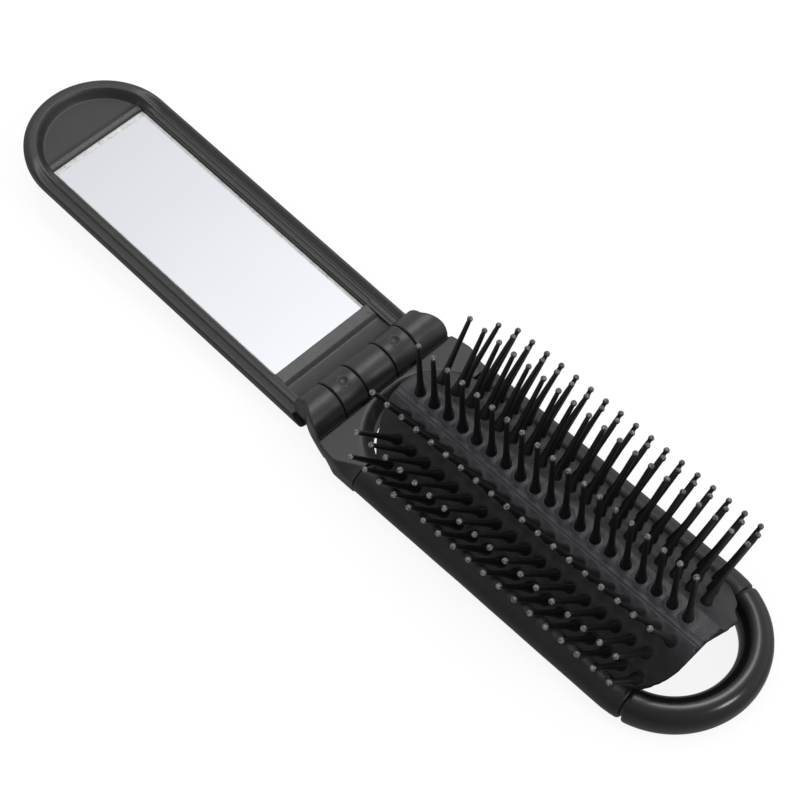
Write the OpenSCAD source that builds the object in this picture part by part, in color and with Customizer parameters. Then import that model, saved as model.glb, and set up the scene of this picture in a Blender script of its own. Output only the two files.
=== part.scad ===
// Folding pop-up hairbrush with a mirror in its lid.
// Millimetres, +Z up. X = 0 on the hinge axis, +X towards the loop, Z = 0 on the surface it lies on.

/* [Hinge] */
// Height of the hinge axis above the surface
hinge_z = 7.2; // [6.8:0.1:8]
// Outer radius of the barrel
barrel_r = 5; // [4.6:0.1:5.4]
// Half the length of the barrel at the axis
barrel_half = 18.1; // [17:0.1:19]
// Half the length of the middle knuckle
mid_knuckle_half = 4.24; // [3.5:0.1:5]
// Distance from the middle to the outer split
outer_split = 11.05; // [10:0.1:12.5]
// Gap between two knuckles
knuckle_gap = 0.3; // [0.2:0.05:0.5]
// Radius of the hinge pin
hinge_pin_r = 1.25; // [1:0.05:1.6]
// Radial running clearance of the lid's knuckles on the pin
pin_clearance = 0.05; // [0.02:0.01:0.1]
// Radius of the dimple in each lid knuckle
dimple_r = 1.1; // [0.8:0.1:1.4]
// Depth of the dimple
dimple_depth = 0.4; // [0.2:0.1:0.6]
// Length of blind barrel left at the closed end of the pin
blind_end = 2.2; // [1.5:0.1:3]
// How far the plate's knuckles are rooted behind the axis
root_back = 2; // [1:0.5:3]
// How far the knuckles' roots lap over the plate or the lid
root_lap = 0.6; // [0.3:0.1:1]
// Opening left short of flat when the lid lies on its stop
rest_tilt = 3.5; // [0:0.5:6]

/* [Handle] */
// Distance from the hinge axis to the centre of the loop
loop_x = 87.8; // [80:0.2:95]
// Radius of the loop's centreline
loop_r = 17.6; // [16.5:0.1:18.5]
// Width of the bar
bar_w = 7.1; // [6:0.1:8]
// Height of the bar
bar_h = 8.1; // [7.2:0.1:8.6]
// Width of the thinner rails under the sleeves
rail_w = 5; // [4:0.1:5.4]
// Height of the thinner rails
rail_h = 5.1; // [4:0.1:5.6]
// How far the rails reach into the end plate
tenon = 5.5; // [4:0.5:7]

/* [End plate] */
// Distance from the hinge axis to the centre of the opening's round end
front_x = 21.2; // [20:0.2:24]
// Where the plate stops and the sleeves begin
plate_end = 17; // [16:0.2:18.5]
// Where the plate reaches its full width
shoulder_x = 12; // [10:0.5:14]
// Height of the plate's top face
plate_top = 7.3; // [6.5:0.1:7.6]
// Radius of the plate's rounded lower edges
plate_round = 3; // [2:0.1:3.5]
// Gap between the barrel and the plate's edge beside the lid's knuckles
plate_gap = 0.4; // [0.3:0.05:0.8]

/* [Lid] */
// Half the width of the lid
lid_half = 18.3; // [17.8:0.1:19]
// Depth of the mirror's face below the hinge axis when open
glass_drop = 4.51; // [4.2:0.05:4.8]
// Distance from the hinge axis to the near edge of the mirror
glass_near = 14.9; // [13.5:0.1:16.5]
// Length of the mirror
glass_len = 75; // [68:0.5:78]
// Half the width of the mirror
glass_half = 13.1; // [12.4:0.1:13.4]
// Thickness of the mirror
glass_t = 1; // [0.8:0.1:1.2]
// Thickness of the adhesive sheet under the mirror
adhesive_t = 0.15; // [0.1:0.05:0.25]
// Gap round the mirror
glass_gap = 0.1; // [0.05:0.05:0.2]
// Thickness of the lid's back
back_t = 0.85; // [0.7:0.05:1.2]
// Height of the outer bead above the mirror
bead_up = 3.1; // [2.6:0.1:3.3]
// Radius of the outer bead
bead_r = 1.25; // [1:0.05:1.4]
// Height of the groove between bead and ridge above the mirror
groove_up = 0.5; // [0.3:0.1:0.8]
// Height of the inner ridge above the mirror
ridge_up = 1.6; // [1.2:0.1:2]
// Width of the inner ridge
ridge_w = 1.3; // [1:0.1:1.6]
// Radius of the lid's rounded outer edge
lid_round = 2; // [1.5:0.1:2.2]
// Width of the band across the near end of the mirror
band_w = 3.5; // [2.5:0.1:5]
// How far the band lies below the ridge
band_drop = 0.3; // [0.1:0.1:0.6]
// Width of the lip along the far end of the mirror
far_lip_w = 1.2; // [0.8:0.1:2]
// Height of the half-moon floor beyond the lip, above the mirror's face
floor_up = 0.1; // [0:0.1:0.4]
// Distance from the hinge axis to the end of the side beads
bead_end = 5.6; // [5.4:0.1:7]
// Distance from the hinge axis to the end of the lid's back, under the barrel
under_end = 2; // [1.8:0.1:3]
// Gap between the barrel and the lid's back under it
barrel_gap = 0.25; // [0.2:0.05:0.4]
// Depth of the top of the lid's web to its knuckles, below the hinge axis
web_drop = 1; // [0.5:0.1:1.5]

/* [Rubber pad] */
// Wall of the sleeves round the rails
sleeve_wall = 1.1; // [0.9:0.05:1.6]
// Thickness of the arched sheet
pad_t = 1.3; // [1:0.1:1.6]
// Height of the arch's crest
crest_z = 16.3; // [15:0.1:17.5]
// Half the width of the flat crest
crest_half = 3.3; // [2.8:0.1:3.8]
// Width of each flank strip, from the crest down
strip_len = [3.75, 6.95, 5.6];
// Slope of each flank strip in degrees
strip_slope = [24, 35, 42];
// Where the crest begins and ends along X
crest_start = 11.3; // [10.5:0.1:12.5]
crest_end = 97.2; // [95:0.1:98.5]
// Radius of the curved front edge in plan
front_edge_r = 20; // [18:1:24]
// Radius of the curved rear edge in plan
rear_edge_r = 24; // [18:1:30]
// Gap between the plate and the sleeves, and the sleeves and the loop
sleeve_gap = 0.3; // [0.2:0.1:0.6]
// How far the sleeves reach past the start of the loop's bend
sleeve_past = 4.3; // [2:0.1:5]

/* [Bristles] */
// Pitch of the beads along a row
bead_pitch = 4.22; // [4.1:0.02:4.3]
// How much wider the beads of a side row are pitched than its feet
side_fan = 0.09; // [0.02:0.01:0.14]
// How much wider the beads of the middle row are pitched than its feet
crest_fan = 0.044; // [0:0.004:0.1]
// Distance of the beads from the middle, from the middle row to the outer rows
bead_y = [0, 13.7, 20.05, 23.7];
// Height of the beads, from the middle row to the outer rows
bead_z = [32.1, 30.05, 24.1, 21.05];
// How far down its strip each row stands, from the middle row to the outer rows
foot_down = [0, 2.75, 3.95, 2.2];
// X of the first foot in the middle row and in each left row
foot_x_left = [16, 17.6, 19.3, 20.8];
// X of the first foot in the middle row and in each right row
foot_x_right = [16, 16.6, 19, 21.4];
// X of the first bead in the middle row and in each left row
bead_x_left = [15.15, 15.82, 17.71, 19.67];
// X of the first bead in the middle row and in each right row
bead_x_right = [15.15, 16.55, 18.96, 21.31];
// Length kept free of feet before the end of the crest, in the middle row and in each left row
free_left = [5, 5, 5, 5];
// Length kept free of feet before the end of the crest, in the middle row and in each right row
free_right = [5, 5, 5, 7];
// Radius of a pin's flared foot
foot_r = 1.2; // [1:0.05:1.3]
// Radius of the flare at its top
flare_top_r = 0.88; // [0.8:0.02:1]
// Height of the flare
foot_h = 2.4; // [1.8:0.1:3]
// Radius of a pin above the flare
pin_r = 0.66; // [0.58:0.02:0.78]
// Radius of a pin at its bead
pin_tip_r = 0.48; // [0.42:0.02:0.56]
// Radius of the bead
pin_bead_r = 0.68; // [0.6:0.02:0.9]

/* [Hidden] */
$fn = 40;

bar_z = bar_h / 2;
frame_half = loop_r + bar_w / 2;
// Centre and radius of the circles that narrow the plate towards the barrel
waist = frame_half - barrel_half;
waist_r = (shoulder_x * shoulder_x + waist * waist) / (2 * waist);
block_x = barrel_r + plate_gap;

glass_z = -glass_drop;
adhesive_z = glass_z - glass_t - adhesive_t;
lid_back = adhesive_z - back_t;
lid_far_x = loop_x;
ridge_in = glass_half + glass_gap;
groove_z = glass_z + groove_up;
// Overlap of solids that are joined, and overshoot of cuts
lap = 0.1;
over = 1;

sleeve_w = rail_w + 2 * sleeve_wall;
sleeve_h = rail_h + 2 * sleeve_wall;
sleeve_start = plate_end + sleeve_gap;
sleeve_end = loop_x + sleeve_past;

// Corners of the arch's outer face, from the crest outwards, as [y, z]
function down(p, k, s) = [p[0] + s * cos(strip_slope[k]), p[1] - s * sin(strip_slope[k])];
corner0 = [crest_half, crest_z];
corner1 = down(corner0, 0, strip_len[0]);
corner2 = down(corner1, 1, strip_len[1]);
corner3 = down(corner2, 2, strip_len[2]);
corners = [corner0, corner1, corner2, corner3];

// One row: [side, place from the middle row outwards]
centre = [1, 0];
left_inner = [-1, 1];
right_inner = [1, 1];
left_middle = [-1, 2];
right_middle = [1, 2];
left_outer = [-1, 3];
right_outer = [1, 3];

// Distance from a bead's centre to the flat where it sits on its pin
bead_seat = sqrt(pin_bead_r * pin_bead_r - pin_tip_r * pin_tip_r);

function pick(left, right, row) = row[0] < 0 ? left[row[1]] : right[row[1]];
function pitch(row) = bead_pitch - (row[1] == 0 ? crest_fan : side_fan);
function first_foot(row) = pick(foot_x_left, foot_x_right, row);
function last_place(row) = crest_end - pick(free_left, free_right, row);
function pin_count(row) = floor((last_place(row) - first_foot(row)) / pitch(row)) + 1;
function slope(row) = row[1] == 0 ? 0 : strip_slope[row[1] - 1];
function foot_yz(row) = row[1] == 0 ? [0, crest_z] : down(corners[row[1] - 1], row[1] - 1, foot_down[row[1]]);
function foot(row, i) = [first_foot(row) + i * pitch(row), row[0] * foot_yz(row)[0], foot_yz(row)[1]];
function normal(row) = [0, row[0] * sin(slope(row)), cos(slope(row))];
function bead(row, i) = [
    pick(bead_x_left, bead_x_right, row) + i * bead_pitch,
    row[0] * bead_y[row[1]],
    bead_z[row[1]]
];

// Turns what stands on the origin to point from a to b
module aim(a, b) {
    d = b - a;
    translate(a)
        rotate([0, acos(d[2] / norm(d)), atan2(d[1], d[0])])
            children();
}

// A round rod from a to b
module rod(a, b, r1, r2) {
    aim(a, b)
        cylinder(h = norm(b - a), r1 = r1, r2 = r2);
}

// A cylinder along Y between two places
module along_y(y1, y2, r) {
    translate([0, y1, 0])
        rotate([-90, 0, 0])
            cylinder(h = y2 - y1, r = r);
}

// An upright slot shape, w wide and h high, about its centre
module slot(w, h) {
    flat = (h - w) / 2;
    translate([0, flat])
        circle(w / 2);
    translate([0, -flat])
        circle(w / 2);
    translate([-w / 2, -flat])
        square([w, 2 * flat]);
}

// A bar of that section along X at the rails
module straight_bar(side, x1, x2, w, h) {
    translate([x1, side * loop_r, bar_z])
        rotate([90, 0, 90])
            linear_extrude(x2 - x1)
                slot(w, h);
}

// A bar of that section round the loop or the opening's front end
module round_bar(cx, from, sweep, w, h) {
    translate([cx, 0, 0])
        rotate([0, 0, from])
            rotate_extrude(angle = sweep)
                translate([loop_r, bar_z])
                    slot(w, h);
}

// End plate: plate, opening's front bar, and the three knuckles that it carries

module plate_outline() {
    intersection() {
        translate([block_x, -frame_half])
            square([shoulder_x - block_x, 2 * frame_half]);
        translate([shoulder_x, frame_half - waist_r])
            circle(waist_r, $fn = 120);
        translate([shoulder_x, waist_r - frame_half])
            circle(waist_r, $fn = 120);
    }
    translate([shoulder_x, -frame_half])
        square([plate_end - shoulder_x, 2 * frame_half]);
}

module plate_section() {
    translate([-frame_half, plate_round])
        square([2 * frame_half, plate_top - plate_round]);
    translate([plate_round - frame_half, 0])
        square([2 * (frame_half - plate_round), plate_round]);
    for (side = [-1, 1])
        translate([side * (frame_half - plate_round), plate_round])
            circle(plate_round);
}

module plate_slab() {
    intersection() {
        linear_extrude(plate_top)
            difference() {
                plate_outline();
                translate([front_x, 0])
                    circle(loop_r, $fn = 90);
            }
        translate([block_x, 0, 0])
            rotate([90, 0, 90])
                linear_extrude(plate_end - block_x)
                    plate_section();
    }
}

module front_bar() {
    intersection() {
        round_bar(front_x, 90, 180, bar_w, bar_h);
        translate([block_x, -frame_half - over, -over])
            cube([plate_end - block_x, 2 * (frame_half + over), bar_h + 2 * over]);
    }
}

module plate_knuckle(y1, y2) {
    translate([0, 0, hinge_z])
        along_y(y1, y2, barrel_r);
    translate([-root_back, y1, 0])
        cube([root_back + block_x + root_lap, y2 - y1, hinge_z]);
}

module end_plate() {
    color([0.2, 0.2, 0.22])
        difference() {
            union() {
                plate_slab();
                front_bar();
                plate_knuckle(knuckle_gap / 2 - mid_knuckle_half, mid_knuckle_half - knuckle_gap / 2);
                plate_knuckle(outer_split + knuckle_gap / 2, barrel_half);
                plate_knuckle(-barrel_half, -outer_split - knuckle_gap / 2);
            }
            pin_space(0);
            for (side = [-1, 1])
                straight_bar(side, plate_end - tenon, plate_end + over, rail_w, rail_h);
        }
}

// Bow handle: thin rails inside the sleeves, and the full loop beyond them

module bow_handle() {
    color([0.06, 0.06, 0.07]) {
        for (side = [-1, 1])
            straight_bar(side, plate_end - tenon, sleeve_end + sleeve_gap + over, rail_w, rail_h);
        intersection() {
            round_bar(loop_x, -90, 180, bar_w, bar_h);
            translate([sleeve_end + sleeve_gap, -frame_half - over, -over])
                cube([frame_half, 2 * (frame_half + over), bar_h + 2 * over]);
        }
    }
}

// Hinge pin, blind at the left end and flush at the right end

module pin_space(clearance) {
    translate([0, 0, hinge_z])
        along_y(blind_end - barrel_half, barrel_half, hinge_pin_r + clearance);
}

module hinge_pin() {
    color([0.7, 0.7, 0.72])
        pin_space(0);
}

// Lid, in hinge coordinates with the far end towards -X

module lid_place() {
    translate([0, 0, hinge_z])
        rotate([0, rest_tilt, 0])
            children();
}

module rim_section() {
    wall_in = lid_half - 2 * bead_r;
    translate([ridge_in, lid_back])
        square([lid_half - lid_round - ridge_in, groove_z - lid_back]);
    translate([lid_half - lid_round, lid_back + lid_round])
        circle(lid_round);
    translate([wall_in, lid_back + lid_round])
        square([2 * bead_r, glass_z + bead_up - bead_r - lid_back - lid_round]);
    translate([lid_half - bead_r, glass_z + bead_up - bead_r])
        circle(bead_r);
    translate([ridge_in, groove_z - lap])
        square([ridge_w, ridge_up - groove_up - ridge_w / 2 + lap]);
    translate([ridge_in + ridge_w / 2, glass_z + ridge_up - ridge_w / 2])
        circle(ridge_w / 2);
}

module back_section() {
    square([ridge_in + over, back_t]);
}

module lid_sides() {
    for (side = [0, 1])
        mirror([0, side, 0])
            translate([-lid_far_x, 0, 0])
                rotate([90, 0, 90])
                    linear_extrude(lid_far_x - bead_end)
                        rim_section();
}

// The lid's back goes on under the barrel with the same outline, as far as clears the barrel
module under_barrel() {
    top = -barrel_r - barrel_gap;
    for (side = [0, 1])
        mirror([0, side, 0])
            translate([-bead_end - root_lap, 0, 0])
                rotate([90, 0, 90])
                    linear_extrude(bead_end + root_lap - under_end)
                        intersection() {
                            union() {
                                rim_section();
                                translate([0, lid_back])
                                    square([ridge_in + lap, top - lid_back]);
                            }
                            translate([0, lid_back])
                                square([lid_half + over, top - lid_back]);
                        }
}

module lid_knuckle(y1, y2) {
    difference() {
        along_y(y1, y2, barrel_r);
        translate([0, (y1 + y2) / 2, barrel_r - dimple_depth])
            cylinder(h = dimple_depth + over, r = dimple_r);
    }
    translate([-bead_end - root_lap, y1, lid_back])
        cube([bead_end + root_lap, y2 - y1, -web_drop - lid_back]);
}

module lid_frame() {
    inner = mid_knuckle_half + knuckle_gap / 2;
    outer = outer_split - knuckle_gap / 2;
    color([0.2, 0.2, 0.22])
        difference() {
            union() {
                lid_place() {
                    lid_sides();
                    translate([-lid_far_x, 0, 0])
                        rotate([0, 0, 90])
                            rotate_extrude(angle = 180)
                                rim_section();
                    translate([-lid_far_x, 0, lid_back])
                        rotate([0, 0, 90])
                            rotate_extrude(angle = 180)
                                back_section();
                    translate([-lid_far_x, -ridge_in - lap, lid_back])
                        cube([lid_far_x - bead_end, 2 * (ridge_in + lap), back_t]);
                    translate([-glass_near + glass_gap, -ridge_in - lap, lid_back])
                        cube([band_w, 2 * (ridge_in + lap), glass_z + ridge_up - band_drop - lid_back]);
                    translate([-glass_near, -ridge_in - lap, lid_back])
                        cube([glass_near - bead_end, 2 * (ridge_in + lap), glass_z - lid_back]);
                    far_end();
                    under_barrel();
                    lid_knuckle(inner, outer);
                    lid_knuckle(-outer, -inner);
                }
            }
            pin_space(pin_clearance);
            lid_place()
                mirror_space(glass_gap);
        }
}

// Half-moon floor beyond the mirror, with a lip along the glass
module far_end() {
    lip_x = glass_near + glass_len + glass_gap;
    floor_end = lid_far_x + ridge_in + over;
    intersection() {
        union() {
            translate([-lip_x - far_lip_w, -ridge_in - over, lid_back])
                cube([far_lip_w, 2 * (ridge_in + over), groove_z - lid_back]);
            translate([-floor_end, -ridge_in - over, lid_back])
                cube([floor_end - lip_x, 2 * (ridge_in + over), glass_z + floor_up - lid_back]);
        }
        translate([-lid_far_x, 0, lid_back])
            cylinder(h = lid_half, r = ridge_in + lap);
    }
}

// The mirror's outline: a rectangle whose far corners follow the round end of the rim
module mirror_outline(gap) {
    near = glass_near - gap;
    far = glass_near + glass_len + gap;
    translate([-lid_far_x, -glass_half - gap])
        square([lid_far_x - near, 2 * (glass_half + gap)]);
    intersection() {
        translate([-far, -glass_half - gap])
            square([far - lid_far_x + over, 2 * (glass_half + gap)]);
        translate([-lid_far_x, 0])
            circle(glass_half + gap);
    }
}

module mirror_space(gap) {
    translate([0, 0, adhesive_z])
        linear_extrude(glass_t + adhesive_t + lid_half)
            mirror_outline(gap);
}

module mirror_glass() {
    color([0.9, 0.91, 0.93])
        lid_place()
            translate([0, 0, glass_z - glass_t])
                linear_extrude(glass_t)
                    mirror_outline(0);
}

module mirror_adhesive() {
    color([0.85, 0.85, 0.8])
        lid_place()
            translate([0, 0, adhesive_z])
                linear_extrude(adhesive_t)
                    mirror_outline(-1);
}

// Rubber pad: an arched sheet between two sleeves that grip the rails

module arch_section() {
    // The sheet's inner face lies pad_t inside each strip, closed under the sleeves' tops
    outer = concat([[0, crest_z]], corners);
    drop = [0, pad_t / cos(strip_slope[0]), pad_t / cos(strip_slope[1]), pad_t / cos(strip_slope[2])];
    inner = [
        [corner3[0], corner3[1] - drop[3]],
        [corner2[0], corner2[1] - drop[3]],
        [corner1[0], corner1[1] - drop[2]],
        [corner0[0], corner0[1] - drop[1]],
        [0, crest_z - pad_t]
    ];
    for (side = [0, 1])
        mirror([side, 0])
            polygon(concat(outer, inner));
}

module arch_plan() {
    intersection() {
        translate([crest_start, -frame_half])
            square([crest_end - crest_start, 2 * frame_half]);
        union() {
            translate([crest_start + front_edge_r, 0])
                circle(front_edge_r, $fn = 120);
            translate([crest_start + front_edge_r, -frame_half])
                square([crest_end - crest_start, 2 * frame_half]);
        }
        union() {
            translate([crest_end - rear_edge_r, 0])
                circle(rear_edge_r, $fn = 120);
            translate([crest_start - rear_edge_r, -frame_half])
                square([crest_end - crest_start, 2 * frame_half]);
        }
    }
}

module rubber_pad() {
    color([0.12, 0.11, 0.12])
        difference() {
            union() {
                for (side = [-1, 1])
                    straight_bar(side, sleeve_start, sleeve_end, sleeve_w, sleeve_h);
                intersection() {
                    translate([crest_start, 0, 0])
                        rotate([90, 0, 90])
                            linear_extrude(crest_end - crest_start)
                                arch_section();
                    linear_extrude(crest_z + over)
                        arch_plan();
                }
            }
            for (side = [-1, 1])
                straight_bar(side, sleeve_start - over, sleeve_end + over, rail_w, rail_h);
        }
}

// Bristles: a pin with a flared foot on the pad and a bead at its tip

// Where a shank begins, inside its flare
function shank_start(row, i) = foot(row, i) + 0.7 * foot_h * normal(row);

module shank(row, i) {
    start = shank_start(row, i);
    way = bead(row, i) - start;
    rod(start, bead(row, i) - bead_seat * way / norm(way), pin_r, pin_tip_r);
}

module pins(row) {
    color([0.05, 0.05, 0.05])
        for (i = [0:pin_count(row) - 1]) {
            rod(foot(row, i), foot(row, i) + foot_h * normal(row), foot_r, flare_top_r);
            shank(row, i);
        }
}

module beads(row) {
    color([0.45, 0.45, 0.45])
        for (i = [0:pin_count(row) - 1])
            aim(bead(row, i), 2 * bead(row, i) - shank_start(row, i))
                rotate_extrude()
                    intersection() {
                        circle(pin_bead_r);
                        translate([0, -bead_seat])
                            square([pin_bead_r, pin_bead_r + bead_seat]);
                    }
}

end_plate();
bow_handle();
hinge_pin();
lid_frame();
mirror_glass();
mirror_adhesive();
rubber_pad();
pins(centre);  // pins_centre
pins(left_inner);  // pins_left_inner
pins(right_inner);  // pins_right_inner
pins(left_middle);  // pins_left_middle
pins(right_middle);  // pins_right_middle
pins(left_outer);  // pins_left_outer
pins(right_outer);  // pins_right_outer
beads(centre);  // beads_centre
beads(left_inner);  // beads_left_inner
beads(right_inner);  // beads_right_inner
beads(left_middle);  // beads_left_middle
beads(right_middle);  // beads_right_middle
beads(left_outer);  // beads_left_outer
beads(right_outer);  // beads_right_outer
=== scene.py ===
"""Looks of the folding pop-up hairbrush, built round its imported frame."""
import math
from functools import reduce

import bpy
import numpy as np
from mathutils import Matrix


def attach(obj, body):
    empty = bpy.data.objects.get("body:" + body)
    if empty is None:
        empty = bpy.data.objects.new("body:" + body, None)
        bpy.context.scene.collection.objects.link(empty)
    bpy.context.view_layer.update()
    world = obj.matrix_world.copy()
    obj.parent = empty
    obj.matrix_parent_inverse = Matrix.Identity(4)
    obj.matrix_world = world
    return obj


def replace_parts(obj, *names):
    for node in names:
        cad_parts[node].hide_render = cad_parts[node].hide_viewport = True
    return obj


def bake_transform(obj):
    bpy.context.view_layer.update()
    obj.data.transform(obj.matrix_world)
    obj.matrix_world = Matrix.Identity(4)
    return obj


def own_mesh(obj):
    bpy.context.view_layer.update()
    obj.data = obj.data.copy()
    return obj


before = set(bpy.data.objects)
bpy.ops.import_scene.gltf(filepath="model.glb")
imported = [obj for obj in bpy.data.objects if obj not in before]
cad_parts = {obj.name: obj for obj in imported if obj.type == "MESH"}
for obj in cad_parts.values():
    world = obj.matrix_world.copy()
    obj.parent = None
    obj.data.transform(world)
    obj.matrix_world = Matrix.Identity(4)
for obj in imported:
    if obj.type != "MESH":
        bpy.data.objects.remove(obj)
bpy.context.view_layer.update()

import openvdb
from mathutils import Matrix, Vector

# Sizes are in millimetres, in the frame's own axes, and angles in degrees. Meshes are scaled to
# metres as they are made. ..._R is a radius, also of a rounded edge, and ..._SOFT the width over
# which two faces melt into each other. ..._EASE brings the function of a slanted face, which
# grows faster than the distance from it, back to about that distance.
MM = 0.001
EDGE_SOFT = 0.3
PART_SOFT = 0.25

# Hinge
HINGE_Z = 7.2
BARREL_R, BARREL_HALF = 5.0, 18.1
MID_SPLIT, OUTER_SPLIT = 4.24, 11.05
KNUCKLE_GAP = 0.24
BARREL_GAP = 0.25
REST_TILT = 3.5
DIMPLE_Y = (MID_SPLIT + OUTER_SPLIT) / 2
DIMPLE_BALL_R, DIMPLE_BALL_UP = 1.9, 1.5
DIMPLE_R = 1.1
COLLAR_OUT, COLLAR_SINK, COLLAR_R = 0.15, 0.12, 0.2

# Bow: two rails and the loop
LOOP_X, LOOP_R = 87.8, 17.6
BAR_W, BAR_H = 7.1, 8.1
RAIL_W, RAIL_H = 5.0, 5.1
BAR_Z = BAR_H / 2
PINCH_TURN = 2.0
PINCH_R = 0.5
TENON = 5.5

# End plate
FRAME_HALF = LOOP_R + BAR_W / 2
PLATE_START, PLATE_END = 5.4, 17.0
PLATE_TOP = 7.3
PLATE_BOTTOM_R, PLATE_TOP_SOFT, PLATE_SIDE_SOFT = 3.2, 0.4, 0.7
SHOULDER_X, SHOULDER_R, SHOULDER_START = 12.0, 3.35, 9.5
WAIST = FRAME_HALF - BARREL_HALF
WAIST_R = (SHOULDER_X ** 2 + WAIST ** 2) / (2 * WAIST)
WAIST_REACH = 13.3
DRAFT_Z, DRAFT_SLOPE, DRAFT_END, DRAFT_RUN = 5.5, 0.30, 11, 4
SIDE_EASE = 0.93
FACET_X, FACET_Y, FACET_WAY = 10.7, 21.0, (0.516, 0.856)
FACET_FALL, FACET_FLATTER, FACET_FLATTER_X, FACET_FLATTER_RUN = 1.6, 0.26, 13, 4
OPENING_X, OPENING_R = 21.6, 13.8
OPENING_TOP_X, OPENING_TOP_R = 22.4, 16.5
OPENING_BEND_Z, OPENING_RUN = 5.0, 4
OPENING_SOFT, OPENING_EASE = 0.55, 0.7
KNUCKLE_ROOT = (-2.0, 6.5)
ROOT_DROP, ROOT_BEVEL, BEVEL_EASE = 0.4, 0.4, 0.7

# Lid, in its own coordinates: u runs from the hinge axis to the far end, z is up from the axis
LID_FAR = LOOP_X
LID_HALF = 18.3
GLASS_Z, GLASS_T, GLASS_GAP, ADHESIVE_T = -4.51, 1.0, 0.1, 0.15
GLASS_NEAR, GLASS_LEN, GLASS_HALF = 14.9, 75.0, 13.65
GLASS_BED = GLASS_Z - GLASS_T - ADHESIVE_T
LID_BACK = GLASS_Z - 2.0
LID_BACK_R, LID_DRAFT = 2.9, 0.02
UNDER_END = 2.0
LID_ROOT_END, LID_ROOT_TOP = 5.7, -3.2
FLOOR_LAP, FLOOR_SOFT, FLOOR_EASE = 0.5, 0.15, 0.9
RAMP_UP, RAMP_RISE, RAMP_U, RAMP_RUN = 0.45, 1.8, 4.8, 1.8
BAND_UP, BAND_SLOPE, BAND_EDGE = 1.45, 0.10, (10.6, 11.9)

# The lid's rim. Grooves, ridge and lip are given by their place, half width and depth or height
RIM_IN, RIM_Z = 13.75, GLASS_Z + 1.62
RIM_EDGE_R, RIM_IN_SOFT, RIM_EASE = 0.5, 0.2, 0.9
RIM_RISE, RIM_RISE_SPAN = 0.34, (16.7, 17.7)
INNER_GROOVE, OUTER_GROOVE = (14.75, 0.24, 0.15), (16.2, 0.36, 0.28)
NEAR_SPAN, NEAR_SHIFT, NEAR_DEEPER = (15.3, 14.3), 0.5, 0.06
RIDGE = (15.35, 0.3, 0.07)
MOON_Z, MOON_RIM_Z, MOON_EDGE_R = GLASS_Z + 0.72, RIM_Z + 1.25, 1.7
MOON_SPAN, MOON_BANK = (85.5, 94.5), (13.45, 15.4)
MOON_LIP = (91.2, 0.55, 0.16)

# Clear edge of the mirror: its width at the near, left, right and far sides, and the rings of
# its section, as (share of that width, z). The last ones are the scored line along it
CLEAR_EDGE = np.array([0.12, 0.6, 0.75, 1.25])
GLASS_RINGS = [
    (0.02, GLASS_Z - GLASS_T), (0, GLASS_Z - GLASS_T + 0.05), (0, GLASS_Z - 0.1), (0.1, GLASS_Z),
    (1.0, GLASS_Z), (1.03, GLASS_Z - 0.02), (1.09, GLASS_Z - 0.02), (1.12, GLASS_Z),
]
GLASS_FINISH = ["mirror_edge"] * 4 + ["mirror_line"] * 3
GLASS_CORNER_STEPS = 18

# Rubber pad
SLEEVE_R, SLEEVE_H = 3.6, 7.3
SLEEVE_START, SLEEVE_END, SLEEVE_END_R = 17.3, 92.1, 0.5
PAD_T = 1.3
CREST_Z, CREST_HALF = 16.3, 3.3
STRIP_LEN = (3.75, 6.95, 5.6)
STRIP_SLOPE = (24, 35, 42)
CORNER_SOFT = 0.45
FRONT_EDGE_X, FRONT_EDGE_R = 11.3, 20.0
REAR_EDGE_X, REAR_DIP, REAR_DIP_AT = 97.2, 7.2, 16.4
TAB_OUT, TAB_START, TAB_BACK, TAB_END = 0.9, (2.6, 3.1), 1.7, (7.6, 10.4)
REAR_NICKS = ((-4.0, 0.35, 0.4), (-1.9, 0.5, 0.35))
SHEET_STEP, SHEET_EDGE_R = 0.3, 0.55
SHEET_ROUNDING = [0, 0.04, 0.12, 0.25, 0.45, 0.7, 1.0]
SEAM_Y, SEAM_W, SEAM_DEEP = (-3.4, -2.1), 0.2, 0.09
BOSS_R, BOSS_UP = 1.55, 0.30
BOSS_RING_R, BOSS_RING_W, BOSS_RING_UP = 1.5, 0.35, 0.08
FINE_SPAN, FINE_GAP = (-4.0, -1.4), 0.2
CROWN_LAP, WEB_START, WEB_END, WEB_SINK = 0.6, 0.55, 16.5, 0.02

# Bristles: place 0 is the middle row and 3 the outer one, side -1 is left and 1 is right
BEAD_PITCH = 4.22
FOOT_PITCH = 4.13
CREST_FOOT_PITCH = 4.176
BEAD_Y = (0, 13.7, 20.05, 23.7)
BEAD_Z = (32.1, 30.05, 24.1, 21.05)
FOOT_DOWN = (0, 2.75, 3.95, 2.2)
FOOT_X = {-1: (16, 17.6, 19.3, 20.8), 1: (16, 16.6, 19, 21.4)}
BEAD_X = {-1: (15.15, 15.82, 17.71, 19.67), 1: (15.15, 16.55, 18.96, 21.31)}
PIN_COUNT = {-1: (19, 19, 18, 18), 1: (19, 19, 18, 17)}
ROWS = {
    "centre": (1, 0),
    "left_inner": (-1, 1), "right_inner": (1, 1),
    "left_middle": (-1, 2), "right_middle": (1, 2),
    "left_outer": (-1, 3), "right_outer": (1, 3),
}
PIN_SIDES, BEAD_SIDES = 20, 18
FOOT_R, PIN_R, PIN_TIP_R, PIN_BEAD_R = 1.33, 0.71, 0.50, 0.66
KNEE_UP, KNEE_BEND = 1.9, 0.25
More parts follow.
